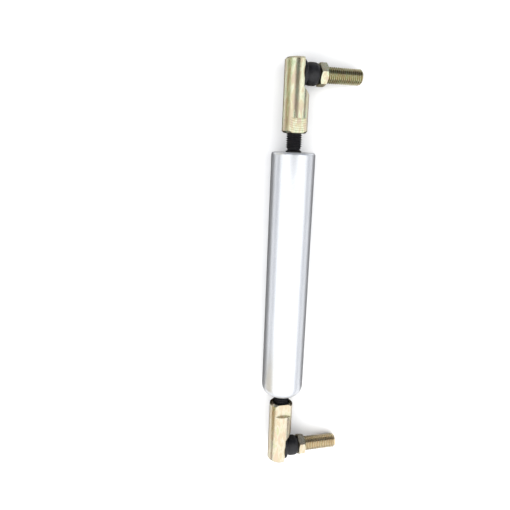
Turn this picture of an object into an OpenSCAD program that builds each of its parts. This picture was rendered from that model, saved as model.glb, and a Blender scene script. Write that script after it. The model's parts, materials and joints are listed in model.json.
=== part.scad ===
// Gas strut stay: a closed, painted strut with a ball joint at each end.
// It lies on a flat surface along Y, rod end towards +Y, rolled until the ends of its two studs
// touch the surface. The origin is the middle of the footprint, at z = 0.

/* [Strut] */
// outside diameter of the cylinder tube (7/8 inch)
tube_d = 22.2; // [16:0.1:40]
// length of the cylinder tube, rolled rim to domed end
tube_l = 131.9; // [90:0.1:400]
// wall thickness of the cylinder tube
tube_wall = 1.25; // [0.8:0.05:3]
// corner radius of the domed end
dome_r = 6; // [4:0.25:9]
// corner radius of the rolled rim
rim_r = 1.4; // [0.8:0.1:3]
// diameter of the hole in the rolled rim
rim_hole_d = 14; // [12:0.25:18]
// piston rod diameter
rod_d = 8; // [6:0.1:12]
// how far the plain rod shows when the strut is closed
rod_plain_out = 1.2; // [0.5:0.1:10]
// how much of the rod's thread shows between rod and housing
rod_thread_out = 8.1; // [4:0.1:20]
// gap between the domed end and the lower housing
lower_gap = 5.2; // [3:0.1:20]
// travel of the rod out of the tube
stroke = 85; // [10:1:300]

/* [Threads and studs] */
// major diameter of every thread (5/16 inch)
thread_d = 7.94; // [6:0.01:12]
// length of rod and stud thread screwed into a housing
thread_engaged = 13; // [8:0.5:18]
// length of the threaded shank of a ball stud
shank_l = 19.05; // [10:0.05:30]
// chamfer on the end of every thread
thread_chamfer = 0.8; // [0.3:0.1:1.5]
// diameter of the undercut between the rod and its thread
undercut_d = 6; // [5:0.1:6.5]
// hexagon of the ball stud, across flats
hex_af = 10.3; // [9:0.1:17]
// thickness of the ball stud's hexagon
hex_t = 3.8; // [2:0.1:8]
// diameter of the ball
ball_d = 9; // [7:0.1:9.5]
// diameter of the neck between ball and hexagon
neck_d = 5.6; // [4:0.1:6]
// how far the upper stud's hexagon is turned from corner up, in degrees
upper_hex_turn = 8; // [0:1:60]
// how far the lower stud's hexagon is turned from corner up, in degrees
lower_hex_turn = 28; // [0:1:60]

/* [Ball joint housings] */
// outside diameter of a housing (1/2 inch)
housing_d = 12.7; // [11.5:0.1:20]
// length of a housing
housing_l = 35.3; // [28:0.1:60]
// distance from the ball's centre to the housing's free end
ball_to_end = 6.9; // [6.5:0.1:12]
// distance from the housing's axis to the flat that the boot sits on
flat_offset = 1.8; // [1.2:0.1:2.5]
// distance from the ball's centre to that flat
ball_to_flat = 2.3; // [2:0.1:3]
// slope of the run-out at the end of that flat, in degrees
runout_angle = 50; // [30:1:80]
// chamfer on the ends of a housing
housing_chamfer = 0.9; // [0.3:0.1:2]
// width of a housing across its two wrench flats (3/8 inch)
wrench_af = 9.53; // [9:0.01:16]
// length of the wrench flats, from the threaded end
wrench_l = 7; // [4:0.5:15]
// depth of the tapped hole
tapped_depth = 16; // [12:0.5:20]
// diameter of the countersink at the mouth of the tapped hole
countersink_d = 9; // [8.2:0.1:11]

/* [Rubber boots] */
// length of a boot, from the flat to the hexagon
boot_l = 8.9; // [6:0.1:15]
// diameter of the thin lip against the flat
boot_lip_d = 13.6; // [12:0.1:18]
// diameter of the waist behind the lip
boot_waist_d = 9; // [8.5:0.1:14]
// diameter of the bulge next to the hexagon
boot_bulge_d = 11.1; // [9:0.1:16]
// thickness of the boot's wall
boot_wall = 1.1; // [0.6:0.1:2]

/* [Inside the cylinder] */
// length of the rod guide
guide_l = 10; // [6:0.5:20]
// length of the rod seal
seal_l = 5; // [3:0.5:10]
// thickness of the washer behind the seal
seal_washer_t = 1.5; // [1:0.1:3]
// thickness of the ring that the piston stops against
stop_ring_t = 1.6; // [1:0.1:4]
// length of the piston
piston_l = 8; // [5:0.5:20]
// thickness of the washers on each side of the piston
piston_washer_t = 1.2; // [0.8:0.1:3]
// diameter of the rod's spigot through the piston
spigot_d = 5; // [4:0.1:7]
// length of the end plug
plug_l = 11; // [8:0.5:20]
// section of the O-rings
cord_d = 1.8; // [1.2:0.1:3]

/* [Clearances] */
// radial running clearance of rod, ball, race, boot and piston ring
run_fit = 0.05; // [0.02:0.01:0.1]
// gap between pieces that sit still against each other
seat_gap = 0.03; // [0.01:0.01:0.1]
// gap round pieces that move past each other
move_gap = 0.3; // [0.2:0.05:0.6]

/* [Hidden] */
$fn = 96;
tube_r = tube_d / 2;
bore_r = tube_r - tube_wall;
rod_r = rod_d / 2;
thread_r = thread_d / 2;
tapped_r = thread_r + seat_gap;
housing_r = housing_d / 2;
ball_r = ball_d / 2;
neck_r = neck_d / 2;
race_r = ball_r + run_fit + 0.5;
race_front = 1.2;
socket_r = race_r + run_fit;
ring_r = socket_r + 0.45;
ball_offset = ball_to_flat - flat_offset;

// places along the strut
rod_out = rod_plain_out + rod_thread_out;
overall_l = 2 * housing_l + rod_out + tube_l + lower_gap;
ball_y = overall_l / 2 - ball_to_end;
rod_mouth_y = overall_l / 2 - housing_l;
tube_top_y = rod_mouth_y - rod_out;
tube_end_y = tube_top_y - tube_l;
guide_y = tube_top_y - tube_wall - seat_gap;
seal_y = guide_y - guide_l - seat_gap;
seal_washer_y = seal_y - seal_l - seat_gap;
stop_ring_y = seal_washer_y - seal_washer_t - seat_gap;
plug_back_y = tube_end_y + tube_wall + seat_gap;
piston_top_y = stop_ring_y - stop_ring_t - move_gap - stroke - piston_washer_t;
rod_shoulder_y = piston_top_y + piston_washer_t;
piston_end_y = piston_top_y - piston_l;

// the lowest edge of each stud's end touches the surface
reach = flat_offset + boot_l + hex_t + shank_l;
edge = [reach - thread_chamfer, thread_r];
roll = asin(tube_r / norm(edge)) - atan2(edge[1], edge[0]);
tip_x = max(edge[0] * cos(roll) + edge[1] * sin(roll),
            reach * cos(roll) + (thread_r - thread_chamfer) * sin(roll));
axis_x = -(tip_x - tube_r) / 2;

// ---- helpers ----

// points on an arc, centre c, radius r, from angle a to angle b
function arc(c, r, a, b, n = 8) =
    [for (i = [0:n]) c + r * [cos(a + (b - a) * i / n), sin(a + (b - a) * i / n)]];

// turns a profile of [radius, y] points about the Y axis
module turn_y(points) {
    rotate([-90, 0, 0])
        rotate_extrude()
            polygon(points);
}

// turns a profile of [radius, x] points about the X axis
module turn_x(points) {
    rotate([0, 90, 0])
        rotate_extrude()
            polygon(points);
}

// a ring about the Y axis from y to y - l
module ring_y(outer, inner, y, l) {
    turn_y([[inner, y - l], [outer, y - l], [outer, y], [inner, y]]);
}

// an O-ring about the Y axis
module o_ring(outer, y) {
    translate([0, y, 0])
        rotate([-90, 0, 0])
            rotate_extrude()
                translate([outer - cord_d / 2, 0])
                    circle(d = cord_d);
}

// puts the strut on the surface, its axis at tube height
module lay_down() {
    translate([axis_x, 0, tube_r])
        rotate([0, roll, 0])
            children();
}

// frames of the two ball joints: origin at the ball, +X along the stud, +Y to the free end
module upper_joint() {
    lay_down()
        translate([-ball_offset, ball_y, 0])
            children();
}

module lower_joint() {
    lay_down()
        rotate([180, 0, 0])
            translate([-ball_offset, ball_y, 0])
                children();
}

// ---- the cylinder ----

// painted steel tube, its rim rolled in over the guide and its end spun to a dome
module cylinder_tube() {
    outer = concat(
        arc([tube_r - dome_r, tube_end_y + dome_r], dome_r, -90, 0),
        arc([tube_r - rim_r, tube_top_y - rim_r], rim_r, 0, 90, 6));
    inner = concat(
        [[rim_hole_d / 2, tube_top_y], [rim_hole_d / 2, tube_top_y - tube_wall],
         [bore_r, tube_top_y - tube_wall]],
        arc([tube_r - dome_r, tube_end_y + dome_r], dome_r - tube_wall, 0, -90),
        [[thread_r + move_gap, tube_end_y + tube_wall], [thread_r + move_gap, tube_end_y]]);
    color("silver")
        lay_down()
            turn_y(concat(outer, inner));
}

// plug held by the domed end, with the threaded stud that carries the lower housing
module end_plug_stud() {
    r = bore_r - seat_gap;
    corner = dome_r - tube_wall;
    groove_r = r - cord_d - seat_gap;
    groove_y = plug_back_y + plug_l - 2 * cord_d;
    tip_y = tube_end_y - lower_gap - thread_engaged;
    profile = concat(
        [[0, tip_y], [thread_r - thread_chamfer, tip_y], [thread_r, tip_y + thread_chamfer],
         [thread_r, plug_back_y]],
        arc([r - corner, plug_back_y + corner], corner, -90, 0),
        [[r, groove_y - cord_d / 2 - run_fit], [groove_r, groove_y - cord_d / 2 - run_fit],
         [groove_r, groove_y + cord_d / 2 + run_fit], [r, groove_y + cord_d / 2 + run_fit],
         [r, plug_back_y + plug_l], [0, plug_back_y + plug_l]]);
    color("dimgray")
        lay_down()
            turn_y(profile);
}

module end_plug_o_ring() {
    color("black")
        lay_down()
            o_ring(bore_r - seat_gap, plug_back_y + plug_l - 2 * cord_d);
}

// guide bush under the rolled rim, running on the rod
module rod_guide() {
    r = bore_r - seat_gap;
    groove_r = r - cord_d - seat_gap;
    groove_y = guide_y - guide_l / 2;
    inner = rod_r + run_fit;
    profile = [
        [inner, guide_y - guide_l], [r, guide_y - guide_l],
        [r, groove_y - cord_d / 2 - run_fit], [groove_r, groove_y - cord_d / 2 - run_fit],
        [groove_r, groove_y + cord_d / 2 + run_fit], [r, groove_y + cord_d / 2 + run_fit],
        [r, guide_y], [inner + 0.5, guide_y], [inner, guide_y - 0.5]];
    color("dimgray")
        lay_down()
            turn_y(profile);
}

module guide_o_ring() {
    color("black")
        lay_down()
            o_ring(bore_r - seat_gap, guide_y - guide_l / 2);
}

// rubber seal with a lip running on the rod
module rod_seal() {
    inner = rod_r + run_fit;
    lip = 1.2;
    profile = [
        [inner, seal_y - lip], [inner + lip, seal_y - seal_l + lip],
        [inner + lip, seal_y - seal_l], [bore_r - seat_gap, seal_y - seal_l],
        [bore_r - seat_gap, seal_y], [inner, seal_y]];
    color("black")
        lay_down()
            turn_y(profile);
}

module seal_washer() {
    color("silver")
        lay_down()
            ring_y(bore_r - seat_gap, rod_r + move_gap, seal_washer_y, seal_washer_t);
}

// spring ring that holds the seal stack and stops the piston
module stop_ring() {
    color("silver")
        lay_down()
            ring_y(bore_r - seat_gap, bore_r - 2.2, stop_ring_y, stop_ring_t);
}

// ---- rod and piston ----

// black rod: thread, plain rod, and a spigot that is peened over behind the piston
module piston_rod() {
    tip_y = rod_mouth_y + thread_engaged;
    thread_y = tube_top_y + rod_plain_out;
    undercut_r = undercut_d / 2;
    spigot_r = spigot_d / 2;
    head_y = piston_end_y - piston_washer_t - 2 * seat_gap;
    head_r = spigot_r + 0.8;
    profile = [
        [0, head_y - 1], [spigot_r, head_y - 1], [head_r, head_y - 0.5], [head_r, head_y],
        [spigot_r, head_y], [spigot_r, rod_shoulder_y + seat_gap],
        [rod_r, rod_shoulder_y + seat_gap], [rod_r, thread_y - 0.7],
        [undercut_r, thread_y], [undercut_r, thread_y + 0.2],
        [thread_r, thread_y + 1.2], [thread_r, tip_y - thread_chamfer],
        [thread_r - thread_chamfer, tip_y], [0, tip_y]];
    color("dimgray")
        lay_down()
            turn_y(profile);
}

// piston with a groove for its ring and three metering ports
module piston() {
    r = bore_r - move_gap;
    groove_r = bore_r - 1.6;
    half = 1.4;
    middle = piston_top_y - piston_l / 2;
    spigot = spigot_d / 2 + seat_gap;
    color("lightgray")
        lay_down()
            difference() {
                turn_y([
                    [spigot, piston_end_y], [r, piston_end_y],
                    [r, middle - half], [groove_r, middle - half],
                    [groove_r, middle + half], [r, middle + half],
                    [r, piston_top_y], [spigot, piston_top_y]]);
                for (a = [0, 120, 240])
                    rotate([0, a, 0])
                        translate([bore_r - 3.6, piston_end_y - 1, 0])
                            rotate([-90, 0, 0])
                                cylinder(r = 0.7, h = piston_l + 2);
            }
}

// slides in the bore with the piston and doesn't turn with it
module piston_ring() {
    color("white")
        lay_down()
            ring_y(bore_r - run_fit, bore_r - 1.6 + run_fit,
                   piston_top_y - piston_l / 2 + 1.4 - run_fit, 2.8 - 2 * run_fit);
}

module front_washer() {
    color("silver")
        lay_down()
            ring_y(bore_r - 4.6, spigot_d / 2 + seat_gap,
                   rod_shoulder_y, piston_washer_t - seat_gap);
}

module rear_washer() {
    color("silver")
        lay_down()
            ring_y(bore_r - 4.6, spigot_d / 2 + seat_gap,
                   piston_end_y - seat_gap, piston_washer_t);
}

// ---- ball joints, drawn in the joint's own frame ----

// round zinc-plated housing: flat and socket for the ball, tapped hole, wrench flats
module housing() {
    mouth_y = ball_to_end - housing_l;
    c = housing_chamfer;
    big = 2 * housing_l;
    difference() {
        translate([ball_offset, 0, 0])
            turn_y([
                [0, mouth_y], [housing_r - c, mouth_y], [housing_r, mouth_y + c],
                [housing_r, ball_to_end - c], [housing_r - c, ball_to_end],
                [0, ball_to_end]]);
        // flat with a sloping run-out
        translate([ball_to_flat, 0, -housing_d])
            linear_extrude(2 * housing_d)
                polygon([
                    [0, -ball_to_end], [0, big], [housing_d, big],
                    [housing_d, -ball_to_end - housing_d / tan(runout_angle)]]);
        // socket, open at the flat
        rotate([0, 90, 0])
            sphere(r = socket_r);
        turn_x([[0, 0], [socket_r, 0], [socket_r, ball_to_flat + 1], [0, ball_to_flat + 1]]);
        turn_x([
            [0, race_front], [ring_r, race_front], [ring_r, ball_to_flat + 1],
            [0, ball_to_flat + 1]]);
        // tapped hole with a drill point and a countersink
        translate([ball_offset, 0, 0])
            turn_y([
                [0, mouth_y - 1], [countersink_d / 2, mouth_y - 1],
                [countersink_d / 2, mouth_y],
                [tapped_r, mouth_y + countersink_d / 2 - tapped_r],
                [tapped_r, mouth_y + tapped_depth],
                [0, mouth_y + tapped_depth + tapped_r / 2]]);
        // wrench flats on both sides
        for (side = [-1, 1])
            translate([ball_offset - housing_d, mouth_y - 1,
                       side * (wrench_af / 2 + housing_d / 2) - housing_d / 2])
                cube([2 * housing_d, wrench_l + 1, housing_d]);
    }
}

// ring pressed in at the flat, which keeps the ball in
module retainer() {
    front = ball_to_flat - seat_gap;
    back = race_front + run_fit;
    gap = 0.1;
    turn_x([
        [sqrt(pow(ball_r, 2) - pow(back, 2)) + gap, back], [ring_r - seat_gap, back],
        [ring_r - seat_gap, front], [sqrt(pow(ball_r, 2) - pow(front, 2)) + gap, front]]);
}

// plastic cup between ball and socket
module race() {
    inner_r = ball_r + run_fit;
    inner_front = asin(race_front / inner_r);
    turn_x(concat(
        arc([0, 0], race_r, -90, 0, 12),
        [[race_r, race_front], [inner_r * cos(inner_front), race_front]],
        arc([0, 0], inner_r, inner_front, -90, 16)));
}

// trumpet-shaped rubber boot: thin lip, waist, bulge, and a neck that runs on the stud
module boot() {
    start = ball_to_flat + 0.1;
    end = ball_to_flat + boot_l - 0.1;
    lip_t = 0.35;
    flare_l = 0.19 * boot_l;
    waist = start + lip_t + flare_l;
    shoulder = waist + 0.6;
    neck = end - 2;
    round_r = 0.7;
    lip_r = boot_lip_d / 2;
    waist_r = boot_waist_d / 2;
    bulge_r = boot_bulge_d / 2;
    shoulder_r = bulge_r - 0.65;
    flare = [for (a = [0:11.25:90])
        [lip_r - (lip_r - waist_r) * sin(a), waist - flare_l * cos(a)]];
    bulge = [for (a = [0:18:180])
        [shoulder_r + (bulge_r - shoulder_r) * sin(a),
         shoulder + (end - round_r - shoulder) * a / 180]];
    turn_x(concat(
        [[lip_r, start]],
        flare,
        bulge,
        arc([shoulder_r - round_r, end - round_r], round_r, 22.5, 90, 3),
        [[neck_r + run_fit, end], [neck_r + run_fit, neck],
         [shoulder_r - boot_wall, neck], [shoulder_r - boot_wall, shoulder],
         [waist_r - boot_wall, waist], [lip_r - 1.6, start]]));
}

// ball, neck, hexagon and threaded shank in one piece of steel
module ball_stud(hex_turn) {
    hex_x = ball_to_flat + boot_l;
    seat_x = hex_x + hex_t;
    tip_x = seat_x + shank_l;
    corner_r = hex_af / 2 / cos(30);
    bevel = corner_r - hex_af / 2;
    rotate([0, 90, 0])
        sphere(r = ball_r);
    turn_x([[0, 0], [neck_r, 0], [neck_r, hex_x + 1], [0, hex_x + 1]]);
    intersection() {
        translate([hex_x, 0, 0])
            rotate([-hex_turn, 0, 0])
                rotate([0, 90, 0])
                    cylinder(r = corner_r, h = hex_t, $fn = 6);
        turn_x([
            [0, hex_x], [hex_af / 2, hex_x], [corner_r + 0.1, hex_x + bevel * 0.7],
            [corner_r + 0.1, seat_x - bevel * 0.7], [hex_af / 2, seat_x], [0, seat_x]]);
    }
    turn_x([
        [0, seat_x - 1], [thread_r, seat_x - 1], [thread_r, tip_x - thread_chamfer],
        [thread_r - thread_chamfer, tip_x], [0, tip_x]]);
}

module upper_housing() { color("khaki") upper_joint() housing(); }
module upper_retainer() { color("gray") upper_joint() retainer(); }
module upper_race() { color("white") upper_joint() race(); }
module upper_boot() { color("black") upper_joint() boot(); }
module upper_ball_stud() { color("khaki") upper_joint() ball_stud(upper_hex_turn); }
module lower_housing() { color("khaki") lower_joint() housing(); }
module lower_retainer() { color("gray") lower_joint() retainer(); }
module lower_race() { color("white") lower_joint() race(); }
module lower_boot() { color("black") lower_joint() boot(); }
module lower_ball_stud() { color("khaki") lower_joint() ball_stud(lower_hex_turn); }

cylinder_tube();
end_plug_stud();
end_plug_o_ring();
rod_guide();
guide_o_ring();
rod_seal();
seal_washer();
stop_ring();
piston_rod();
piston();
piston_ring();
front_washer();
rear_washer();
upper_housing();
upper_retainer();
upper_race();
upper_boot();
upper_ball_stud();
lower_housing();
lower_retainer();
lower_race();
lower_boot();
lower_ball_stud();
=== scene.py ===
"""Looks of the gas strut stay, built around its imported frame."""

import json
import logging
import math
from collections.abc import Callable, Sequence
from dataclasses import dataclass
from enum import Enum

import bmesh
import bpy
from mathutils import Matrix, Vector


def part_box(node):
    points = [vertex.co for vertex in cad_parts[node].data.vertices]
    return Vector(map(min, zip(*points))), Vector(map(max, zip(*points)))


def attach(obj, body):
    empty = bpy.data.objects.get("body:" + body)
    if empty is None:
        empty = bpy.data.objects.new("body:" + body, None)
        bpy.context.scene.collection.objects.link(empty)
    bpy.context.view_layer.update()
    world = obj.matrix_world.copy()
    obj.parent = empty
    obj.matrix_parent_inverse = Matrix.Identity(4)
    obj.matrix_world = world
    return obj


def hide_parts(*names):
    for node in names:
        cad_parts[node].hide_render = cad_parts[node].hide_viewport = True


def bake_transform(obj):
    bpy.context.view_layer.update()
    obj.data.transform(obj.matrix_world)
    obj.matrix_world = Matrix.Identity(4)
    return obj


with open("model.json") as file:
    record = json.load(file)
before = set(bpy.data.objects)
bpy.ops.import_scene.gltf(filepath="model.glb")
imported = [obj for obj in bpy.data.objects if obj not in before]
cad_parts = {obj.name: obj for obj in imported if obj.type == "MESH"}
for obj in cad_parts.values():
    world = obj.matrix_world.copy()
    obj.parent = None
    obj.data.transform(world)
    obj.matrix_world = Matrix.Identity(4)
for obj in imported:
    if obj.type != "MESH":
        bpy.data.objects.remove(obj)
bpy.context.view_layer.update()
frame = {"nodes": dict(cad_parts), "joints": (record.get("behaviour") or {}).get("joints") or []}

log = logging.getLogger("gas_strut_stay")

MM = 0.001
Tree = bpy.types.NodeTree
Node = bpy.types.Node
Socket = bpy.types.NodeSocket
Shape = bmesh.types.BMesh
Value = float | tuple[float, ...] | Socket
Corner = tuple[float, float] | tuple[float, float, float]
Range = tuple[float, ...]
Card = tuple[float, float, float, float]
# points nearer than this are merged, and a rounded corner has this many steps
MERGE_MM = 1e-4
ROUND_STEPS = 8


class End(Enum):
    """The two ends of the stay, with the sign of Y that each one lies on."""

    UPPER = 1
    LOWER = -1

    @property
    def label(self) -> str:
        """The word that the end's nodes, bodies and joints start with."""
        return self.name.lower()


# ---------------- node helpers


def linear(hex_colour: str) -> tuple[float, float, float, float]:
    """Turns an sRGB hex colour into linear RGBA.

    Args:
        hex_colour: The colour as "#rrggbb".

    Returns:
        Linear red, green and blue, with an alpha of 1.
    """
    parts = [int(hex_colour[i:i + 2], 16) / 255 for i in (1, 3, 5)]
    red, green, blue = (
        p / 12.92 if p <= 0.04045 else ((p + 0.055) / 1.055) ** 2.4 for p in parts
    )
    return red, green, blue, 1.0


def feed(tree: Tree, node: Node, inputs: dict[str | int, Value]) -> None:
    """Gives a node's sockets their values and links.

    Args:
        tree: The tree that the node is in.
        node: The node.
        inputs: Socket name or number to a value, or to the socket linked to it.
    """
    for place, value in inputs.items():
        if isinstance(value, Socket):
            tree.links.new(value, node.inputs[place])
        else:
            node.inputs[place].default_value = value


def add_node(
    tree: Tree,
    kind: str,
    inputs: dict[str | int, Value] | None = None,
    stops: Sequence[tuple[float, str]] = (),
    **settings: str | bool | float,
) -> Node:
    """Adds a node with its settings, values and links.

    Args:
        tree: The tree that the node goes into.
        kind: The node's type name.
        inputs: Socket name or number to a value, or to the socket linked to it.
        stops: Positions and hex colours, for a colour ramp.
        **settings: Properties of the node itself.

    Returns:
        The new node.
    """
    made = tree.nodes.new(kind)
    for name, value in settings.items():
        setattr(made, name, value)
    feed(tree, made, inputs or {})
    for index, (position, colour) in enumerate(stops):
        if index == len(made.color_ramp.elements):
            made.color_ramp.elements.new(position)
        made.color_ramp.elements[index].position = position
        made.color_ramp.elements[index].color = linear(colour)
    return made


def grain(size_mm: float) -> float:
    """The scale of a noise texture whose grains are size_mm across."""
    return 1 / (size_mm * MM)


def bands(spacing_mm: float) -> float:
    """The scale of a wave texture with bands spacing_mm apart: it has 20 radians a unit."""
    return math.tau / (20 * spacing_mm * MM)


# ---------------- finishes


@dataclass(frozen=True)
class Finish:
    """A surface finish, which makes its own node material."""

    name: str
    # one roughness, or the least and the most, then the relief's strength and depth
    rough: Range = (0.5,)
    relief: float = 0.1
    relief_mm: float = 0.02
    metallic: float = 0.0

    def material(self) -> bpy.types.Material:
        """Makes the finish's material the first time, and finds it after that.

        Returns:
            The material.
        """
        found = bpy.data.materials.get(self.name)
        if found:
            return found
        made = bpy.data.materials.new(self.name)
        made.use_nodes = True
        tree = made.node_tree
        tree.nodes.clear()
        shader = add_node(tree, "ShaderNodeBsdfPrincipled")
        add_node(tree, "ShaderNodeOutputMaterial", {"Surface": shader.outputs["BSDF"]})
        place = add_node(tree, "ShaderNodeTexCoord").outputs["Object"]
        self.dress(tree, shader, place)
        return made

    def dress(self, tree: Tree, shader: Node, place: Socket) -> None:
        """Adds the finish's own nodes and sets the shader's sockets.

        Args:
            tree: The material's node tree.
            shader: Its Principled shader.
            place: Object coordinates, in metres.
        """
        raise NotImplementedError

    def mottle(
        self, tree: Tree, place: Socket, size_mm: float, detail: float,
        stops: Sequence[tuple[float, str]],
    ) -> tuple[Socket, Socket]:
        """Makes a pattern and the colours that follow it.

        Args:
            tree: The material's node tree.
            place: Object coordinates, in metres.
            size_mm: How far across the pattern's patches are.
            detail: How many finer patterns are laid over it.
            stops: Positions in the pattern, and their hex colours.

        Returns:
            The pattern and the colour.
        """
        pattern = add_node(
            tree, "ShaderNodeTexNoise",
            {"Vector": place, "Scale": grain(size_mm), "Detail": detail},
        ).outputs["Fac"]
        ramp = add_node(tree, "ShaderNodeValToRGB", {"Fac": pattern}, stops=stops)
        return pattern, ramp.outputs["Color"]

    def surface(
        self, tree: Tree, shader: Node, colour: Socket, height: Socket,
        wear: Socket | None = None,
    ) -> None:
        """Gives the shader its colour, relief and roughness.

        Args:
            tree: The material's node tree.
            shader: Its Principled shader.
            colour: The base colour.
            height: The pattern that the relief follows.
            wear: The pattern that the roughness follows from its least to its most.
        """
        rough = self.rough[0]
        if wear is not None:
            rough = add_node(
                tree, "ShaderNodeMapRange",
                {"Value": wear, "To Min": rough, "To Max": self.rough[1]},
            ).outputs["Result"]
        bump = add_node(
            tree, "ShaderNodeBump",
            {"Height": height, "Strength": self.relief, "Distance": self.relief_mm * MM},
        )
        feed(
            tree, shader,
            {"Base Color": colour, "Roughness": rough, "Normal": bump.outputs["Normal"],
             "Metallic": self.metallic},
        )


@dataclass(frozen=True)
class SilverLacquer(Finish):
    """Silver lacquer, sprayed on a steel tube and stoved.

    It gives the eye a pale cool grey that goes white where it faces the light, with
    the faint sparkle of aluminium flake and a little orange peel.
    """

    pale: str = "#d9dbdf"
    deep: str = "#c8cbd0"
    # real flake is some 0.03 mm across and is drawn coarser so that it shows
    flake_mm: float = 0.35
    drift_mm: float = 14.0
    drift_share: float = 0.3
    peel_mm: float = 1.6
    rough: Range = (0.33, 0.43)
    metallic: float = 0.8
    coat: float = 0.2

    def dress(self, tree: Tree, shader: Node, place: Socket) -> None:
        """Adds flake, a slow drift of shade and orange peel.

        Args:
            tree: The material's node tree.
            shader: Its Principled shader.
            place: Object coordinates, in metres.
        """
        flake = add_node(
            tree, "ShaderNodeTexNoise",
            {"Vector": place, "Scale": grain(self.flake_mm), "Detail": 2.0},
        )
        drift = add_node(
            tree, "ShaderNodeTexNoise",
            {"Vector": place, "Scale": grain(self.drift_mm), "Detail": 3.0},
        )
        shade = add_node(
            tree, "ShaderNodeMath",
            {0: drift.outputs["Fac"], 1: self.drift_share, 2: flake.outputs["Fac"]},
            operation="MULTIPLY_ADD",
        )
        colour = add_node(
            tree, "ShaderNodeValToRGB", {"Fac": shade.outputs[0]},
            stops=[(0.45, self.deep), (0.85, self.pale)],
        )
        peel = add_node(
            tree, "ShaderNodeTexNoise",
            {"Vector": place, "Scale": grain(self.peel_mm), "Detail": 1.0},
        )
        self.surface(
            tree, shader, colour.outputs["Color"], peel.outputs["Fac"], flake.outputs["Fac"]
        )
        feed(tree, shader, {"Coat Weight": self.coat, "Coat Roughness": self.coat})


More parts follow.
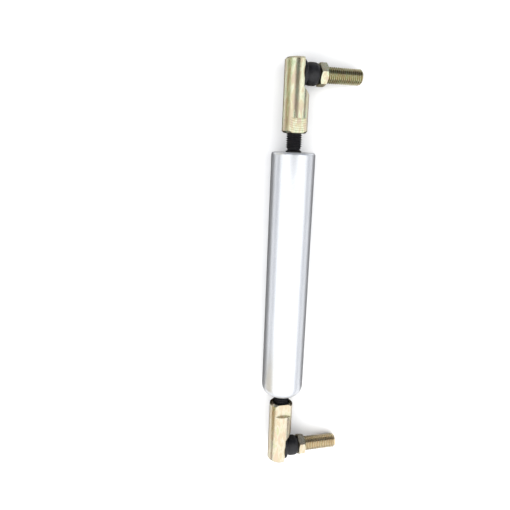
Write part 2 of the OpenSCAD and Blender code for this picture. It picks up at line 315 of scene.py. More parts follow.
@dataclass(frozen=True)
class YellowZinc(Finish):
    """Zinc plate on turned steel, passivated yellow.

    It gives the eye a pale champagne gold that slides to green and pink, with streaks
    along the drawn bar, a grainy edge to each reflection and dull specks of oil.
    """

    gold: str = "#b5ae90"
    green: str = "#a9b394"
    pink: str = "#b3a394"
    pale: str = "#c1c1ac"
    speck: str = "#7d765c"
    # the colour of the painted shade in the thread's roots
    root: str = "#8d8358"
    centre: tuple[float, float, float] = (0.0, 0.0, 0.0)
    roll: float = 0.0
    relief: float = 0.14
    relief_mm: float = 0.015
    rough: Range = (0.2, 0.38)
    metallic: float = 1.0
    # drawn bar leaves scratches some 0.02 mm wide, drawn coarser so that they show
    streak_mm: float = 0.7
    streak_stretch: float = 0.06
    streak_tint: float = 0.35
    speck_mm: float = 0.28
    speck_range: tuple[float, float] = (0.56, 0.85)
    speck_height: float = 0.5
    hue_mm: float = 1.6
    hue_stretch: float = 0.25
    # where the threaded shank starts along the stud, and the thread's radii, in metres
    shank_start: float = 0.0149
    root_r: float = 0.00338
    crest_r: float = 0.0039
    # the end mill's arcs: spacing, depth, shade and, in metres, their centre, the
    # height of the wrench flats and where the flats start
    mill_mm: float = 1.05
    mill_depth: float = 0.0
    mill_shade: float = 0.45
    mill_centre: tuple[float, float] = (0.001, -0.011)
    flat_height: float = 0.00474
    flat_start: float = -0.0213

    def dress(self, tree: Tree, shader: Node, place: Socket) -> None:
        """Adds hues, streaks, specks and the milling marks on the wrench flats.

        Args:
            tree: The material's node tree.
            shader: Its Principled shader.
            place: Object coordinates, in metres.
        """
        own = add_node(
            tree, "ShaderNodeMapping",
            {"Vector": place, "Location": self.centre, "Rotation": (0.0, self.roll, 0.0)},
            vector_type="TEXTURE",
        ).outputs["Vector"]
        drawn, long = (
            add_node(
                tree, "ShaderNodeMapping", {"Vector": own, "Scale": (1.0, stretch, 1.0)}
            ).outputs["Vector"]
            for stretch in (self.streak_stretch, self.hue_stretch)
        )
        hue = add_node(
            tree, "ShaderNodeTexNoise",
            {"Vector": long, "Scale": grain(self.hue_mm), "Detail": 2.0},
        )
        streak = add_node(
            tree, "ShaderNodeTexNoise",
            {"Vector": drawn, "Scale": grain(self.streak_mm), "Detail": 3.0},
        )
        speck = add_node(
            tree, "ShaderNodeTexNoise",
            {"Vector": own, "Scale": grain(self.speck_mm), "Detail": 4.0, "Roughness": 0.7},
        )
        tint = add_node(
            tree, "ShaderNodeMath",
            {0: streak.outputs["Fac"], 1: self.streak_tint, 2: hue.outputs["Fac"]},
            operation="MULTIPLY_ADD",
        )
        colour = add_node(
            tree, "ShaderNodeValToRGB", {"Fac": tint.outputs[0]},
            stops=[
                (0.5, self.green), (0.62, self.pale), (0.71, self.gold), (0.82, self.pink),
                (0.92, self.gold),
            ],
        )
        dull = add_node(
            tree, "ShaderNodeMapRange",
            {"Value": speck.outputs["Fac"], "From Min": self.speck_range[0],
             "From Max": self.speck_range[1]},
        )
        dusty = add_node(
            tree, "ShaderNodeMix",
            {0: dull.outputs["Result"], 6: colour.outputs["Color"], 7: linear(self.speck)},
            data_type="RGBA",
        )
        height = add_node(
            tree, "ShaderNodeMath",
            {0: speck.outputs["Fac"], 1: self.speck_height, 2: streak.outputs["Fac"]},
            operation="MULTIPLY_ADD",
        ).outputs[0]
        # darkens the thread's roots with painted shade
        plated = self.oiled(tree, own, dusty.outputs[2])
        if self.mill_depth:
            marks = self.milled(tree, own)
            height = add_node(
                tree, "ShaderNodeMath", {0: marks, 1: self.mill_depth, 2: height},
                operation="MULTIPLY_ADD",
            ).outputs[0]
            shaded = add_node(
                tree, "ShaderNodeMath", {0: marks, 1: self.mill_shade}, operation="MULTIPLY"
            )
            plated = add_node(
                tree, "ShaderNodeMix",
                {0: shaded.outputs[0], 6: plated, 7: linear(self.speck)}, data_type="RGBA",
            ).outputs[2]
        self.surface(tree, shader, plated, height, streak.outputs["Fac"])

    def oiled(self, tree: Tree, own: Socket, colour: Socket) -> Socket:
        """Paints shade into the roots of the shank's thread, in the root colour.

        Args:
            tree: The material's node tree.
            own: Coordinates with the ball at the origin and the stud along X.
            colour: The colour so far.

        Returns:
            The colour with dark roots.
        """
        along = add_node(tree, "ShaderNodeSeparateXYZ", {"Vector": own}).outputs["X"]
        spoke = add_node(
            tree, "ShaderNodeVectorMath", {0: own, 1: (0.0, 1.0, 1.0)}, operation="MULTIPLY"
        )
        radius = add_node(
            tree, "ShaderNodeVectorMath", {0: spoke.outputs["Vector"]}, operation="LENGTH"
        )
        depth = add_node(
            tree, "ShaderNodeMapRange",
            {"Value": radius.outputs["Value"], "From Min": self.crest_r, "From Max": self.root_r},
        )
        on_shank = add_node(
            tree, "ShaderNodeMath", {0: along, 1: self.shank_start}, operation="GREATER_THAN"
        )
        amount = add_node(
            tree, "ShaderNodeMath", {0: depth.outputs["Result"], 1: on_shank.outputs[0]},
            operation="MULTIPLY",
        )
        return add_node(
            tree, "ShaderNodeMix", {0: amount.outputs[0], 6: colour, 7: linear(self.root)},
            data_type="RGBA",
        ).outputs[2]

    def milled(self, tree: Tree, own: Socket) -> Socket:
        """Makes the arcs that an end mill leaves across the wrench flats.

        Args:
            tree: The material's node tree.
            own: Coordinates with the ball at the origin and the stud along X.

        Returns:
            The arcs, 0 to 1, and 0 away from the flats.
        """
        _, along, up = add_node(tree, "ShaderNodeSeparateXYZ", {"Vector": own}).outputs
        swirl = add_node(
            tree, "ShaderNodeMapping",
            {"Vector": own, "Location": (-self.mill_centre[0], -self.mill_centre[1], 0.0)},
        )
        arcs = add_node(
            tree, "ShaderNodeTexWave",
            {"Vector": swirl.outputs["Vector"], "Scale": bands(self.mill_mm),
             "Distortion": 1.2, "Detail": 2.0, "Detail Scale": 1.5},
            wave_type="RINGS", rings_direction="Z",
        )
        raised = add_node(tree, "ShaderNodeMath", {0: up}, operation="ABSOLUTE")
        on_flat = add_node(
            tree, "ShaderNodeMath", {0: raised.outputs[0], 1: self.flat_height},
            operation="GREATER_THAN",
        )
        after = add_node(
            tree, "ShaderNodeMath", {0: along, 1: self.flat_start}, operation="LESS_THAN"
        )
        where = add_node(
            tree, "ShaderNodeMath", {0: on_flat.outputs[0], 1: after.outputs[0]},
            operation="MULTIPLY",
        )
        cut = add_node(tree, "ShaderNodeMath", {0: arcs.outputs["Fac"], 1: 2.0}, operation="POWER")
        return add_node(
            tree, "ShaderNodeMath", {0: cut.outputs[0], 1: where.outputs[0]},
            operation="MULTIPLY",
        ).outputs[0]


@dataclass(frozen=True)
class BlackSteel(Finish):
    """Turned steel, blackened in a hot oxide bath and oiled.

    It gives the eye a near-black with a soft grey sheen and dry brownish patches.
    """

    deep: str = "#17171b"
    dry: str = "#29272a"
    patch_mm: float = 1.8
    # tool marks are some 0.05 mm apart and are drawn coarser so that they show
    mark_mm: float = 0.3
    relief: float = 0.12
    relief_mm: float = 0.01
    rough: Range = (0.32, 0.6)
    metallic: float = 0.6

    def dress(self, tree: Tree, shader: Node, place: Socket) -> None:
        """Adds dry patches and fine tool marks round the bar.

        Args:
            tree: The material's node tree.
            shader: Its Principled shader.
            place: Object coordinates, in metres.
        """
        patch, colour = self.mottle(
            tree, place, self.patch_mm, 4.0, [(0.4, self.deep), (0.65, self.dry)]
        )
        marks = add_node(
            tree, "ShaderNodeTexWave",
            {"Vector": place, "Scale": bands(self.mark_mm), "Distortion": 0.5},
            bands_direction="Y",
        )
        self.surface(tree, shader, colour, marks.outputs["Fac"], patch)


@dataclass(frozen=True)
class MouldedRubber(Finish):
    """Chloroprene rubber, compression moulded.

    It gives the eye a soft black with a broad dim highlight and a dusting of bloom.
    """

    deep: str = "#0e0e11"
    bloom: str = "#1b1b20"
    bloom_mm: float = 1.4
    # the mould's sparked surface, some 0.05 mm, drawn coarser so that it shows
    skin_mm: float = 0.16
    relief: float = 0.2
    relief_mm: float = 0.01
    rough: Range = (0.36, 0.56)
    ior: float = 1.52
    specular: float = 0.3

    def dress(self, tree: Tree, shader: Node, place: Socket) -> None:
        """Adds bloom and the mould's skin.

        Args:
            tree: The material's node tree.
            shader: Its Principled shader.
            place: Object coordinates, in metres.
        """
        bloom, colour = self.mottle(
            tree, place, self.bloom_mm, 5.0, [(0.4, self.deep), (0.7, self.bloom)]
        )
        skin = add_node(
            tree, "ShaderNodeTexNoise",
            {"Vector": place, "Scale": grain(self.skin_mm), "Detail": 2.0},
        )
        self.surface(tree, shader, colour, skin.outputs["Fac"], bloom)
        feed(tree, shader, {"IOR": self.ior, "Specular IOR Level": self.specular})


@dataclass(frozen=True)
class BareSteel(Finish):
    """Steel strip, blanked or turned and left bare.

    It gives the eye a cool grey metal with fine rings round the piece's own axis.
    """

    pale: str = "#b9babc"
    deep: str = "#8e8f93"
    axis: tuple[float, float, float] = (0.0, 0.0, 0.0)
    turn: tuple[float, float, float] = (0.0, 0.0, 0.0)
    ring_mm: float = 0.35
    stain_mm: float = 2.5
    relief: float = 0.15
    relief_mm: float = 0.01
    rough: Range = (0.22, 0.42)
    metallic: float = 1.0

    def dress(self, tree: Tree, shader: Node, place: Socket) -> None:
        """Adds turned rings and faint stains.

        Args:
            tree: The material's node tree.
            shader: Its Principled shader.
            place: Object coordinates, in metres.
        """
        own = add_node(
            tree, "ShaderNodeMapping",
            {"Vector": place, "Location": self.axis, "Rotation": self.turn},
            vector_type="TEXTURE",
        )
        rings = add_node(
            tree, "ShaderNodeTexWave",
            {"Vector": own.outputs["Vector"], "Scale": bands(self.ring_mm), "Distortion": 0.4},
            wave_type="RINGS", rings_direction="Y",
        )
        stain, colour = self.mottle(
            tree, place, self.stain_mm, 4.0, [(0.35, self.deep), (0.65, self.pale)]
        )
        self.surface(tree, shader, colour, rings.outputs["Fac"], stain)


@dataclass(frozen=True)
class SinteredSteel(Finish):
    """Steel powder, pressed and sintered.

    It gives the eye a dull grey metal peppered with open pores.
    """

    pale: str = "#8f9092"
    pore: str = "#3a3a3c"
    # real pores are some 0.05 mm across and are drawn coarser so that they show
    pore_mm: float = 0.3
    relief: float = 0.3
    metallic: float = 1.0

    def dress(self, tree: Tree, shader: Node, place: Socket) -> None:
        """Adds the pores.

        Args:
            tree: The material's node tree.
            shader: Its Principled shader.
            place: Object coordinates, in metres.
        """
        pores = add_node(
            tree, "ShaderNodeTexVoronoi", {"Vector": place, "Scale": grain(self.pore_mm)}
        )
        colour = add_node(
            tree, "ShaderNodeValToRGB", {"Fac": pores.outputs["Distance"]},
            stops=[(0.12, self.pore), (0.3, self.pale)],
        )
        self.surface(tree, shader, colour.outputs["Color"], pores.outputs["Distance"])


@dataclass(frozen=True)
class Plastic(Finish):
    """A moulded or pressed plastic: acetal, PTFE or glass-filled nylon.

    It gives the eye a waxy surface with a cloudy drift of shade.
    """

    pale: str = "#e4e2d4"
    deep: str = "#d2cfbd"
    cloud_mm: float = 1.2
    rough: Range = (0.38,)
    ior: float = 1.48
    wax: float = 0.0
    wax_mm: float = 0.5

    def dress(self, tree: Tree, shader: Node, place: Socket) -> None:
        """Adds the cloudy shade and a faint skin.

        Args:
            tree: The material's node tree.
            shader: Its Principled shader.
            place: Object coordinates, in metres.
        """
        cloud, colour = self.mottle(
            tree, place, self.cloud_mm, 4.0, [(0.35, self.deep), (0.65, self.pale)]
        )
        self.surface(tree, shader, colour, cloud)
        feed(
            tree, shader,
            {"IOR": self.ior, "Subsurface Weight": self.wax,
             "Subsurface Scale": self.wax_mm * MM},
        )


@dataclass(frozen=True)
class MattBoard(Finish):
    """A painted board, matt all over, which gives the eye nothing but soft shadows."""

    pale: str = "#fbfbfb"
    deep: str = "#f7f7f8"
    drift_mm: float = 80.0
    rough: Range = (0.9,)
    specular: float = 0.1

    def dress(self, tree: Tree, shader: Node, place: Socket) -> None:
        """Adds a barely seen drift of shade.

        Args:
            tree: The material's node tree.
            shader: Its Principled shader.
            place: Object coordinates, in metres.
        """
        _, colour = self.mottle(
            tree, place, self.drift_mm, 2.0, [(0.4, self.deep), (0.6, self.pale)]
        )
        feed(
            tree, shader,
            {"Base Color": colour, "Roughness": self.rough[0],
             "Specular IOR Level": self.specular},
        )


# ---------------- the stay's frame


def joint(name: str) -> dict:
    """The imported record's joint of that name."""
    return next(j for j in frame["joints"] if j["name"] == name)


@dataclass(frozen=True)
class Stand:
    """Where a sub-assembly stands: its own Z runs along a row direction, in mm."""

    origin: Vector
    along: Vector
    up: Vector

    @property
    def matrix(self) -> Matrix:
        """Own millimetres to metres in the row frame."""
        z = self.along.normalized()
        y = (self.up - self.up.project(z)).normalized()
        turn = Matrix((y.cross(z), y, z)).transposed().to_4x4()
        return Matrix.Translation(self.origin) @ turn @ Matrix.Scale(MM, 4)

    def height(self, node: str, top: bool) -> float:
        """How far along the stand's Z a node of the strut's own line ends.

        Args:
            node: The CAD node's name.
            top: True for its far end, False for its near end.

        Returns:
            The distance from the stand's origin, in mm.
        """
        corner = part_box(node)[1 if top else 0]
        return (corner - self.origin).dot(self.along) / MM


def strut_stand() -> Stand:
    """The stand on the strut's axis, with its Z towards the rod end."""
    turn = joint("rod_turn")
    return Stand(Vector(turn["pos_m"]), Vector(turn["axis"]), Vector((0, 0, 1)))


def ball_stand(end: End) -> Stand:
    """The stand at a ball's centre, with its Z along the stud and Y to the free end.

    Args:
        end: Which end of the stay.

    Returns:
        The stand.
    """
    swivel = joint(f"{end.label}_swivel")
    return Stand(Vector(swivel["pos_m"]), Vector(swivel["axis"]), Vector((0, end.value, 0)))


# ---------------- mesh helpers


def turned(corners: Sequence[Corner], solid: bool, steps: int = 96) -> Shape:
    """Turns a profile about Z, as on a lathe.

    Args:
        corners: Radius, height and, where a corner is rounded, how far from the corner
            the rounding starts, in mm.
        solid: True where the profile starts and ends on the axis.
        steps: Steps round the turn.

    Returns:
        The closed shape.
    """
    shape = bmesh.new()
    line = [shape.verts.new((corner[0], 0, corner[1])) for corner in corners]
    for first, second in zip(line, line[1:] if solid else line[1:] + line[:1]):
        shape.edges.new((first, second))
    for vert, corner in zip(line, corners):
        if len(corner) == 3:
            bmesh.ops.bevel(
                shape, geom=[vert], offset=corner[2], segments=ROUND_STEPS, profile=0.5,
                affect="VERTICES", material=-1,
            )
    bmesh.ops.spin(
        shape, geom=shape.verts[:] + shape.edges[:], cent=(0, 0, 0), axis=(0, 0, 1),
        angle=math.tau, steps=steps, use_merge=True,
    )
    bmesh.ops.remove_doubles(shape, verts=shape.verts, dist=MERGE_MM)
    bmesh.ops.recalc_face_normals(shape, faces=shape.faces)
    return shape


def join(first: Shape, second: Shape) -> None:
    """Puts a second shape into the first one.

    Args:
        first: The shape that is kept.
        second: The shape that goes into it and is freed.
    """
    carrier = bpy.data.meshes.new("carrier")
    second.to_mesh(carrier)
    second.free()
    first.from_mesh(carrier)
    bpy.data.meshes.remove(carrier)


def soften(shape: Shape, sharp_deg: float = 32.0) -> None:
    """Shades a shape smooth, apart from edges sharper than sharp_deg.

    Args:
        shape: The shape.
        sharp_deg: The angle from which an edge stays sharp.
    """
    for face in shape.faces:
        face.smooth = True
    for edge in shape.edges:
        edge.smooth = edge.calc_face_angle(math.pi) < math.radians(sharp_deg)


@dataclass(frozen=True)
class Thread:
    """A UNF thread cut by a die: 60 degree flanks, flat crests and a ridge that runs
    out under a cone at each end.
    """

    major_d: float = 7.94
    pitch: float = 25.4 / 24
    depth: float = 0.65
    flank_deg: float = 30.0
    # how deep the ridge's foot is sunk, and how far a trimmed crest stays inside its cone
    sunk: float = 0.08
    trim: float = 0.01
    steps_a_turn: int = 40

    @property
    def root_r(self) -> float:
        """The radius at the bottom of the thread."""
        return self.major_d / 2 - self.depth

    def ridge(self, low: float, high: float, limit: Callable[[float], float]) -> Shape:
        """Sweeps the ridge round Z, right-handed, from low to high.

        Args:
            low: Where the ridge's middle starts, in mm.
            high: Where it ends.
            limit: The largest radius at a height, which trims the ridge.

        Returns:
            The closed ridge.
        """
        # a crest is flat over an eighth of the pitch, half of it on each side
        crest = self.pitch / 16
        foot = crest + (self.depth + self.sunk) * math.tan(math.radians(self.flank_deg))
        foot_r = self.root_r - self.sunk
        shape = bmesh.new()
        line = [
            shape.verts.new((radius, 0, low + height))
            for radius, height in (
                (foot_r, -foot), (self.major_d / 2, -crest), (self.major_d / 2, crest),
                (foot_r, foot),
            )
        ]
        for first, second in zip(line, line[1:] + line[:1]):
            shape.edges.new((first, second))
        steps = round((high - low) / self.pitch * self.steps_a_turn)
        bmesh.ops.spin(
            shape, geom=shape.verts[:] + shape.edges[:], cent=(0, 0, 0), axis=(0, 0, 1),
            dvec=(0, 0, self.pitch / self.steps_a_turn),
            angle=math.tau * steps / self.steps_a_turn, steps=steps, use_merge=False,
        )
        bmesh.ops.holes_fill(
            shape, edges=[e for e in shape.edges if e.is_boundary], sides=0
        )
        bmesh.ops.recalc_face_normals(shape, faces=shape.faces)
        for vert in shape.verts:
            radius = vert.co.xy.length
            allowed = limit(vert.co.z)
            if radius > allowed:
                vert.co.xy *= allowed / radius
        return shape


def made(name: str, shape: Shape, finishes: Sequence[Finish]) -> bpy.types.Object:
    """Makes a shape an object of the scene.

    Args:
        name: The object's name.
        shape: Its shape, which is freed.
        finishes: The finishes of its material slots.

    Returns:
        The object.
    """
    mesh = bpy.data.meshes.new(name)
    shape.to_mesh(mesh)
    shape.free()
    for finish in finishes:
        mesh.materials.append(finish.material())
    thing = bpy.data.objects.new(name, mesh)
    bpy.context.scene.collection.objects.link(thing)
    return thing


@dataclass
class SubAssembly:
    """A group of pieces that stands in one place and dresses its own pieces."""

    stand: Stand
    label: str

    def place(
        self, shape: Shape, node: str, body: str | None, finishes: Sequence[Finish]
    ) -> bpy.types.Object:
        """Makes a piece from a shape in the stand's millimetres, in place of a node.

        Args:
            shape: The shape, which is freed.
            node: The CAD node that the piece stands for, which is hidden.
            body: The body that it rides on, or None for a piece on no body.
            finishes: The finishes of its material slots.

        Returns:
            The piece.
        """
        shape.transform(self.stand.matrix)
        piece = made(f"{node}_look", shape, finishes)
        if body:
            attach(piece, body)
        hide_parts(node)
        log.info("%s: %s, %d faces", self.label, piece.name, len(piece.data.polygons))
        return piece

    def copied(self, node: str) -> Shape:
        """Copies a CAD node's mesh, merged, in the stand's millimetres.

        Args:
            node: The CAD node's name.

        Returns:
            The copy.
        """
        shape = bmesh.new()
        shape.from_mesh(frame["nodes"][node].data)
        shape.transform(self.stand.matrix.inverted())
        bmesh.ops.remove_doubles(shape, verts=shape.verts, dist=MERGE_MM)
        for face in shape.faces:
            face.material_index = 0
        return shape

    def dress_node(self, node: str, finish: Finish) -> None:
        """Gives a CAD node that stays a finish of its own.

        Args:
            node: The CAD node's name.
            finish: Its finish.
        """
        for slot in frame["nodes"][node].material_slots:
            slot.material = finish.material()
        log.info("%s: %s dressed as %s", self.label, node, finish.name)


# ---------------- the cylinder


@dataclass
class Cylinder(SubAssembly):
    """The painted tube with its end plug, and the rod guide and seals inside it."""

    tube_d: float = 22.19
    wall: float = 1.25
    dome_r: float = 6.0
    rim_r: float = 1.4
    rim_hole_d: float = 14.0
    edge_r: float = 0.4
    stud_clearance: float = 0.3
    stud_chamfer: float = 0.8
    # the cone between the thread's root and the plug, and how far from the stud's tip
    # and the plug's face the ridge ends
    cone_l: float = 0.5
    cone_in: float = 0.3
    ridge_ends: tuple[float, float] = (0.4, 0.2)
    plug_l: float = 11.0
    plug_gap: float = 0.03
    cord_d: float = 1.8
    cord_gap: float = 0.05
    thread: Thread = Thread()

    def tube(self) -> None:
        """Builds the tube, its rim rolled in and its other end spun to a dome."""
        radius = self.tube_d / 2
        bore = radius - self.wall
        hole = self.thread.major_d / 2 + self.stud_clearance
        low = self.stand.height("cylinder_tube", False)
        high = self.stand.height("cylinder_tube", True)
        shape = turned(
            [
                (hole, low), (radius, low, self.dome_r), (radius, high, self.rim_r),
                (self.rim_hole_d / 2, high, self.edge_r), (self.rim_hole_d / 2, high - self.wall),
                (bore, high - self.wall), (bore, low + self.wall, self.dome_r - self.wall),
                (hole, low + self.wall),
            ],
            solid=False, steps=128,
        )
        soften(shape)
        self.place(shape, "cylinder_tube", "cylinder", [SILVER])

    def plug(self) -> None:
        """Builds the end plug and the threaded stud that sticks out of the dome."""
        low = self.stand.height("end_plug_stud", False)
        back = self.stand.height("cylinder_tube", False) + self.wall + self.plug_gap
        radius = self.tube_d / 2 - self.wall - self.plug_gap
        groove = back + self.plug_l - 2 * self.cord_d
        half = self.cord_d / 2 + self.cord_gap
        groove_r = radius - self.cord_d - self.plug_gap
        major = self.thread.major_d / 2
        root = self.thread.root_r
        edge = low + self.stud_chamfer
        shape = turned(
            [
                (0, low), (major - self.stud_chamfer, low), (root, edge - self.thread.depth),
                (root, back - self.cone_l), (major - self.cone_in, back),
                (radius, back, self.dome_r - self.wall), (radius, groove - half),
                (groove_r, groove - half), (groove_r, groove + half), (radius, groove + half),
                (radius, back + self.plug_l, self.edge_r), (0, back + self.plug_l),
            ],
            solid=True,
        )
        ridge = self.thread.ridge(
            low + self.ridge_ends[0], back - self.ridge_ends[1],
            lambda z: min(major, major - (edge - z) - self.thread.trim),
        )
        join(shape, ridge)
        soften(shape)
        self.place(shape, "end_plug_stud", "cylinder", [BLACKENED])

    def inner(self) -> None:
        """Dresses the guide, seals and rings that the tube hides."""
        for node in ("end_plug_o_ring", "guide_o_ring", "rod_seal"):
            self.dress_node(node, NITRILE)
        self.dress_node("rod_guide", NYLON)
        for node in ("seal_washer", "stop_ring"):
            self.dress_node(node, STRUT_STEEL)

    def build(self) -> None:
        """Builds and dresses every piece of the cylinder."""
        self.tube()
        self.plug()
        self.inner()


@dataclass
class RodAndPiston(SubAssembly):
    """The black rod with its thread, and the piston on its spigot."""

    rod_d: float = 8.0
    plain_out: float = 1.2
    undercut_d: float = 6.0
    undercut_fall: float = 0.7
    undercut_l: float = 0.2
    undercut_rise: float = 0.33
    run_in: float = 1.0
    tip_chamfer: float = 0.8
    # how far short of the tip the thread's root and its ridge end, and the radius that
    # the ridge is never trimmed under
    root_end: float = 0.15
    ridge_end: float = 0.4
    least_r: float = 0.5
    spigot_d: float = 5.0
    shoulder_r: float = 0.3
    # the peened head: how far it stands out, its cone and its rounded edge
    head_out: float = 0.8
    head_cone: float = 0.5
    head_r: float = 0.2
    head_gap: float = 0.03
    thread: Thread = Thread()

    def rod(self) -> None:
        """Builds the rod: peened spigot, plain rod, undercut and thread."""
        low = self.stand.height("piston_rod", False)
        tip = self.stand.height("piston_rod", True)
        head = self.stand.height("rear_washer", False) - self.head_gap
        shoulder = self.stand.height("front_washer", True) + self.head_gap
        thread_start = self.stand.height("cylinder_tube", True) + self.plain_out
        major = self.thread.major_d / 2
        root = self.thread.root_r
        neck = self.undercut_d / 2
        spigot = self.spigot_d / 2
        full = thread_start + self.undercut_l + self.run_in
        shape = turned(
            [
                (0, low), (spigot, low, self.head_r),
                (spigot + self.head_out, low + self.head_cone), (spigot + self.head_out, head),
                (spigot, head), (spigot, shoulder),
                (self.rod_d / 2, shoulder, self.shoulder_r),
                (self.rod_d / 2, thread_start - self.undercut_fall),
                (neck, thread_start), (neck, thread_start + self.undercut_l),
                (root, thread_start + self.undercut_l + self.undercut_rise),
                (root, tip - self.root_end), (major - self.tip_chamfer, tip), (0, tip),
            ],
            solid=True,
        )
        slope = (major - neck) / self.run_in
        ridge = self.thread.ridge(
            thread_start + self.undercut_l, tip - self.ridge_end,
            lambda z: max(
                self.least_r,
                min(major, major - (full - z) * slope, major - (z - tip) - self.tip_chamfer),
            ) - self.thread.trim,
        )
        join(shape, ridge)
        soften(shape)
        self.place(shape, "piston_rod", "rod", [BLACKENED])

    def build(self) -> None:
        """Builds the rod and dresses the piston group."""
        self.rod()
        self.dress_node("piston", SINTERED)
        self.dress_node("piston_ring", PTFE)
        for node in ("front_washer", "rear_washer"):
            self.dress_node(node, STRUT_STEEL)


# ---------------- the ball joints


@dataclass
class BallJoint(SubAssembly):
    """A housing with its ball stud, rubber boot, plastic race and retaining ring."""

    end: End
    zinc: YellowZinc
    body: str
    ball_to_flat: float = 2.3
    ball_offset: float = 0.5
    boot_l: float = 8.9
    boot_lip_d: float = 13.7
    boot_waist_d: float = 9.8
    boot_bulge_d: float = 11.1
    boot_gap: float = 0.1
    lip_t: float = 1.4
    wall: float = 1.3
    # how much of the boot stays on the flat, how much grips the stud's neck, and how
    # far short of the grip the bend ends
    foot: float = 0.4
    grip: float = 2.0
    bend_gap: float = 0.1
    # the boot's outside: roundings and fall of the lip, then the heights and roundings
    # of the waist and the bulge, and the shoulder that leads to the neck
    lip_edge_r: float = 0.15
    lip_r: float = 0.5
    lip_fall: float = 0.4
    waist_flare: float = 0.1
    waist_h: float = 2.5
    waist_r: float = 0.3
    bulge_h: float = 3.5
    bulge_r: float = 1.0
    shoulder_l: float = 1.5
    shoulder_r: float = 0.8
    shoulder_in: float = 1.0
    neck_r: float = 0.4
    # the boot's inside, where it is thinner than the wall
    waist_wall: float = 0.6
    waist_inside_h: float = 2.3
    lip_reach: float = 1.6
    # edges of the boot longer than this are cut into three
    longest_edge: float = 0.9
    neck_d: float = 5.7
    hex_t: float = 3.8
    shank_l: float = 19.05
    chamfer: float = 0.8
    tip_r: float = 0.15
    # the stud's tip stays this far inside the CAD node's
    tip_gap: float = 0.02
    # the CAD shank is cut off this far past the hexagon, and the new one starts inside it
    cut_gap: float = 0.05
    shank_root: float = 1.0
    # how far below the seat the ridge starts, and how far below the tip it ends
    ridge_ends: tuple[float, float] = (0.2, 0.3)
    mouth_from_ball: float = 28.4
    tapped_reach: float = 22.0
    hole_r: float = 4.55
    thread: Thread = Thread()

    def housing(self) -> None:
        """Builds the housing, its edges broken and its tapped hole dark: oiled steel with painted
        shade.
        """
        node = f"{self.end.label}_housing"
        shape = self.copied(node)
        for face in shape.faces:
            centre = face.calc_center_median()
            # faces deep in the tapped hole take the second slot: dark oiled steel, darkened
            # further as painted shade
            deep = -self.mouth_from_ball < centre.y < self.tapped_reach - self.mouth_from_ball
            across = math.hypot(centre.x, centre.z - self.ball_offset)
            face.material_index = int(deep and across < self.hole_r)
        soften(shape, sharp_deg=25.0)
        self.place(shape, node, self.body, [self.zinc, OILED_AND_SHADED_BORE])

    def boot(self) -> None:
        """Builds the boot, which runs from the housing's flat to the stud."""
        low = self.ball_to_flat + self.boot_gap
        high = self.ball_to_flat + self.boot_l - self.boot_gap
        lip = self.boot_lip_d / 2
        waist = self.boot_waist_d / 2
        bulge = self.boot_bulge_d / 2
        neck = self.neck_d / 2
        shape = turned(
            [
                (lip, low, self.lip_edge_r), (lip, low + self.lip_t, self.lip_r),
                (waist + self.waist_flare, low + self.lip_t + self.lip_fall, self.lip_fall),
                (waist, low + self.waist_h, self.waist_r),
                (bulge, low + self.bulge_h, self.bulge_r),
                (bulge, high - self.shoulder_l, self.shoulder_r),
                (bulge - self.shoulder_in, high, self.neck_r),
                (neck, high), (neck, high - self.grip), (bulge - self.wall, high - self.grip),
                (bulge - self.wall, low + self.bulge_h),
                (waist - self.waist_wall, low + self.waist_inside_h),
                (lip - self.lip_reach, low),
            ],
            solid=False,
        )
        bmesh.ops.subdivide_edges(
            shape, edges=[e for e in shape.edges if e.calc_length() > self.longest_edge],
            cuts=2, use_grid_fill=True,
        )
        soften(shape, sharp_deg=50.0)
        piece = self.place(shape, f"{self.end.label}_boot", None, [RUBBER])
        matrix = self.stand.matrix
        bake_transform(piece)

    def stud(self) -> None:
        """Builds the stud: ball, neck and hexagon, and a shank with a cut thread."""
        node = f"{self.end.label}_ball_stud"
        seat = self.ball_to_flat + self.boot_l + self.hex_t
        tip = seat + self.shank_l - self.tip_gap
        major = self.thread.major_d / 2
        root = self.thread.root_r
        shape = self.copied(node)
        cut = bmesh.ops.bisect_plane(
            shape, geom=shape.verts[:] + shape.edges[:] + shape.faces[:], dist=MERGE_MM,
            plane_co=(0, 0, seat + self.cut_gap), plane_no=(0, 0, 1), clear_outer=True,
        )
        bmesh.ops.holes_fill(
            shape, edges=[g for g in cut["geom_cut"] if isinstance(g, bmesh.types.BMEdge)],
            sides=0,
        )
        shank = turned(
            [
                (0, seat - self.shank_root), (root, seat - self.shank_root),
                (root, tip - self.chamfer + self.thread.depth),
                (major - self.chamfer, tip, self.tip_r), (0, tip),
            ],
            solid=True,
        )
        ridge = self.thread.ridge(
            seat - self.ridge_ends[0], tip - self.ridge_ends[1],
            lambda z: min(major, major - (z - tip) - self.chamfer - self.thread.trim),
        )
        join(shank, ridge)
        join(shape, shank)
        soften(shape)
        self.place(shape, node, f"{self.end.label}_stud", [self.zinc])

    def build(self) -> None:
        """Builds and dresses every piece of the ball joint."""
        self.housing()
        self.boot()
        self.stud()
        self.dress_node(f"{self.end.label}_race", ACETAL)
        self.dress_node(f"{self.end.label}_retainer", BALL_STEEL[self.end])


# ---------------- the studio


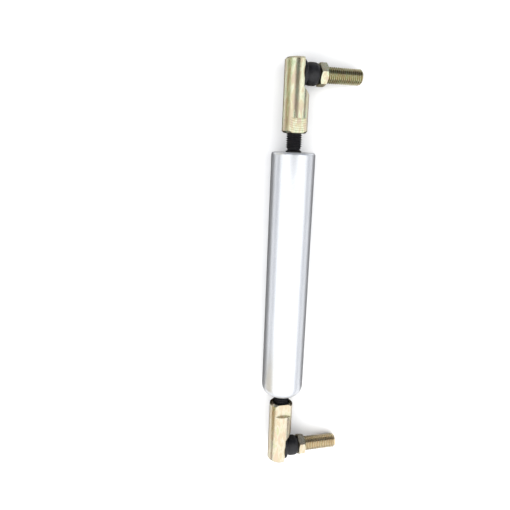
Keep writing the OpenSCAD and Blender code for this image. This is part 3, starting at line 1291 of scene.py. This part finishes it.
@dataclass(frozen=True)
class Studio:
    """A white table under a soft overhead light, and the camera above it.

    Angles are in degrees and lengths in metres, from the table and the strut's axis,
    which is at axis_x. The lens and its sensor are in millimetres.
    """

    axis_x: float
    beside: float = -0.02521
    along: float = 0.06527
    above: float = 0.26122
    yaw: float = 8.0
    pitch: float = 12.47
    lean: float = -6.21
    lens: float = 34.45
    sensor: float = 36.0
    clip: tuple[float, float] = (0.01, 50.0)
    table: float = 6.0
    tent: float = 3.2
    tent_height: float = 0.5
    tent_back: float = -1.25
    tent_watts: float = 58.0
    tent_colour: str = "#fffefa"
    room_colour: str = "#d6def4"
    room_strength: float = 0.3
    # each card's half width, near and far end and height
    roof_card: Card = (0.1, 0.077, 0.27, 0.31)
    # the tube and joint cards lie in the table and show only in reflections, as painted shade of
    # the table under the stay
    tube_card: Card = (0.05, -0.08, 0.07, 0.0006)
    joint_card: Card = (0.016, -0.15, 0.15, 0.0003)
    # the side cards, painted shade along the housings' edges in reflections: their distance from
    # the axis, their height and their reach along it
    side_away: float = -0.06
    side_height: float = 0.05
    side_reach: tuple[float, float] = (0.075, 0.13)

    def camera(self) -> None:
        """Sets the camera above the strut, looking down and a little along it."""
        data = bpy.data.cameras.new("camera")
        data.lens = self.lens
        data.sensor_width = self.sensor
        data.clip_start, data.clip_end = self.clip
        camera = bpy.data.objects.new("camera", data)
        camera.matrix_world = (
            Matrix.Translation((self.axis_x + self.beside, self.along, self.above))
            @ Matrix.Rotation(math.radians(self.yaw), 4, "Z")
            @ Matrix.Rotation(math.radians(-self.pitch), 4, "X")
            @ Matrix.Rotation(math.radians(self.lean), 4, "Z")
        )
        bpy.context.scene.collection.objects.link(camera)
        bpy.context.scene.camera = camera

    def floor(self) -> None:
        """Lays the white table under the stay."""
        shape = bmesh.new()
        bmesh.ops.create_grid(shape, x_segments=8, y_segments=8, size=self.table / 2)
        made("table", shape, [TABLE])

    def softbox(self) -> None:
        """Hangs the softbox that roofs the table, further to the lower end."""
        data = bpy.data.lights.new("softbox", "AREA")
        data.size = self.tent
        data.energy = self.tent_watts
        data.color = linear(self.tent_colour)[:3]
        lamp = bpy.data.objects.new("softbox", data)
        lamp.location = (self.axis_x, self.tent_back, self.tent_height)
        lamp.visible_camera = False
        bpy.context.scene.collection.objects.link(lamp)

    def card(self, name: str, low: Vector, high: Vector, finish: Finish) -> None:
        """Puts up a card that casts no shadow and shows in glossy reflections only.

        Args:
            name: The card's name.
            low: One corner, in metres.
            high: The corner across from it.
            finish: Its finish.
        """
        shape = bmesh.new()
        bmesh.ops.create_grid(shape, x_segments=2, y_segments=2, size=1.0)
        half = (high - low) / 2
        for vert in shape.verts:
            across = vert.co.x + 1
            along = vert.co.y + 1
            vert.co = low + Vector((half.x * across, half.y * along, half.z * across))
        card = made(name, shape, [finish])
        for ray in ("camera", "diffuse", "transmission", "shadow"):
            setattr(card, f"visible_{ray}", False)

    def cards(self) -> None:
        """Puts up a card over the stay for the camera's dark reflection, and painted shade in
        reflections: two cards under the stay and one beside each joint.
        """
        for name, size, finish in (
            ("roof_card", self.roof_card, CAMERA_AND_SHADE_CARD), ("tube_card", self.tube_card, CAMERA_AND_SHADE_CARD),
            ("joint_card", self.joint_card, GREY_SHADE_CARD),
        ):
            half, near, far, height = size
            low = Vector((self.axis_x - half, near, height))
            self.card(name, low, Vector((self.axis_x + half, far, height)), finish)
        side_x = self.axis_x + self.side_away
        for end in (End.LOWER, End.UPPER):
            near, far = sorted(end.value * reach for reach in self.side_reach)
            top = Vector((side_x, far, self.side_height))
            self.card(f"{end.label}_side_card", Vector((side_x, near, 0)), top, EDGE_SHADE_CARD[end])

    def build(self) -> None:
        """Sets up the light, the cards, the table and the camera."""
        scene = bpy.context.scene
        world = bpy.data.worlds.new("room")
        world.use_nodes = True
        feed(
            world.node_tree, world.node_tree.nodes["Background"],
            {"Color": linear(self.room_colour), "Strength": self.room_strength},
        )
        scene.world = world
        scene.view_settings.view_transform = "Standard"
        self.softbox()
        self.cards()
        self.floor()
        self.camera()


# ---------------- the finishes

STRUT_AXIS = strut_stand()
JOINT_AXIS = {end: ball_stand(end) for end in End}
ROLL = math.atan2(-JOINT_AXIS[End.UPPER].along.z, JOINT_AXIS[End.UPPER].along.x)

SILVER = SilverLacquer("silver_lacquer_sprayed")
UPPER_ZINC = YellowZinc(
    "yellow_zinc_upper", centre=tuple(JOINT_AXIS[End.UPPER].origin), roll=ROLL, mill_depth=6.0
)
# the lower joint has the same plating as the upper one; this copy is painted light: a little paler
# and warmer, with next to no painted shade in its thread roots
LOWER_ZINC_LIT_COPY = YellowZinc(
    "yellow_zinc_lower", gold="#b8ad92", green="#b3b193", pink="#bca997", pale="#c2baaa",
    root="#bfae8c", centre=tuple(JOINT_AXIS[End.LOWER].origin), roll=ROLL,
)
BLACKENED = BlackSteel("black_oxide_steel_turned")
# the tapped hole's inside: oiled steel, darkened further as painted shade in the hole
OILED_AND_SHADED_BORE = BlackSteel("tapped_bore_oiled", deep="#141312", dry="#2b2820", mark_mm=1.06)
RUBBER = MouldedRubber("chloroprene_moulded")
NITRILE = MouldedRubber("nitrile_moulded", deep="#101011", bloom="#1c1c1d", rough=(0.45, 0.65))
NYLON = Plastic(
    "glass_nylon_moulded", pale="#2a2a2c", deep="#1a1a1c", cloud_mm=0.5, rough=(0.5,), ior=1.53
)
ACETAL = Plastic("acetal_moulded", wax=0.2)
PTFE = Plastic("ptfe_pressed", pale="#e9e8e2", deep="#d6d4ca", rough=(0.45,), ior=1.38, wax=0.3)
SINTERED = SinteredSteel("steel_sintered")
STRUT_STEEL = BareSteel("bare_steel_blanked", axis=tuple(STRUT_AXIS.origin))
BALL_STEEL = {
    end: BareSteel(
        f"bare_steel_turned_{end.label}", axis=tuple(stand.origin),
        turn=(0.0, ROLL, math.radians(90)),
    )
    for end, stand in JOINT_AXIS.items()
}
TABLE = MattBoard("table_board_white_matt")
# a dark card seen only in reflections: the camera overhead, and painted shade of the table under
# the tube
CAMERA_AND_SHADE_CARD = MattBoard("card_flocked_black", pale="#2e291c", deep="#1e1a11")
# tinted cards seen only in reflections: painted shade along the housings' edges
EDGE_SHADE_CARD = {
    End.LOWER: MattBoard("card_tan_matt", pale="#c6b68c", deep="#b6a67c"),
    End.UPPER: MattBoard("card_cream_matt", pale="#ded5b6", deep="#cec5a6"),
}
# a grey card seen only in reflections: painted shade of the table under the joints
GREY_SHADE_CARD = MattBoard("card_grey_matt", pale="#9c968a", deep="#8c877c")


def main() -> None:
    """Builds the stay's sub-assemblies and the studio."""
    logging.basicConfig(level=logging.INFO, format="%(name)s %(message)s")
    Cylinder(STRUT_AXIS, "cylinder").build()
    RodAndPiston(STRUT_AXIS, "rod and piston").build()
    for end, zinc, body in ((End.UPPER, UPPER_ZINC, "rod"), (End.LOWER, LOWER_ZINC_LIT_COPY, "cylinder")):
        BallJoint(JOINT_AXIS[end], f"{end.label} joint", end, zinc, body).build()
    Studio(STRUT_AXIS.origin.x).build()


if __name__ == "__main__":
    main()
